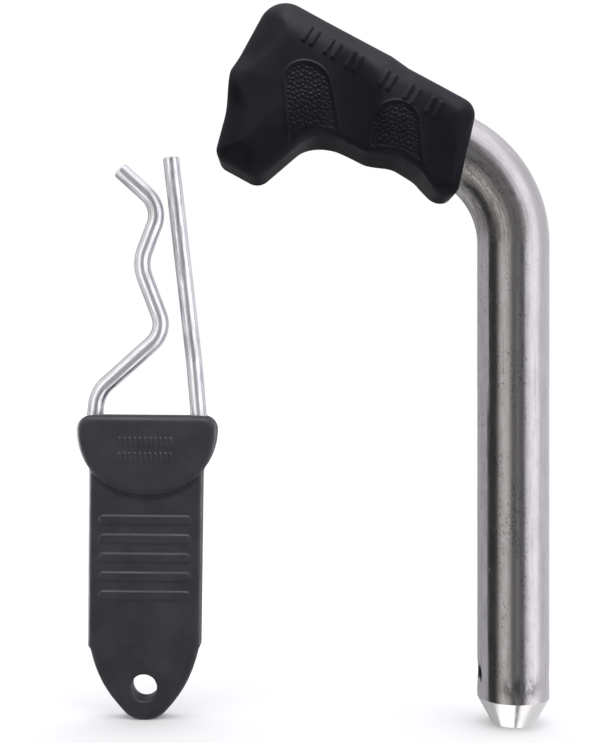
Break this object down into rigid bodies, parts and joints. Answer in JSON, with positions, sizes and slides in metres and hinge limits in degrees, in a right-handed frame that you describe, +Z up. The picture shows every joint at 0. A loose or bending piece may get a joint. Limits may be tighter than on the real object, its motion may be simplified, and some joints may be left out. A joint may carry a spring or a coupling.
{
  "type": "hitch pin with hairpin clip",
  "caption": "Bent steel hitch pin with a moulded rubber finger grip and a cross-drilled chamfered tip, and a hairpin spring clip with a rubber pull tab.",
  "frame": {"origin": "centre of the pin's flat tip face", "axes": "+Z up along the pin's straight shank, -X towards the grip and the clip in the plane of the bend, +Y towards the back"},
  "size_m": [0.1059, 0.025, 0.1594],
  "materials": {
    "shank_steel": "bright drawn steel with fine lengthwise scuffs and a machined tip",
    "grip_rubber": "satin moulded rubber with pebbled finger pads",
    "clip_zinc": "bright zinc plated spring wire",
    "tab_rubber": "matt moulded rubber"
  },
  "bodies": {
    "pin": {"pin_shank": "shank_steel", "pin_grip": "grip_rubber"},
    "clip": {"clip_wire": "clip_zinc", "clip_tab": "tab_rubber"},
    "spring_leg": {"clip_spring_leg": "clip_zinc"}
  },
  "joints": [
    {"name": "clip_stroke", "type": "slide", "parent": "pin", "child": "clip", "axis": [-0.1133, 0, 0.9936], "range_m": [0, 0.034]},
    {"name": "spring_leg_opening", "type": "hinge", "parent": "clip", "child": "spring_leg", "pos_m": [-0.09436, 0.0045, 0.067], "axis": [0, -1, 0], "range_deg": [0, 8], "stiffness_Nm_per_rad": 0.3}
  ]
}
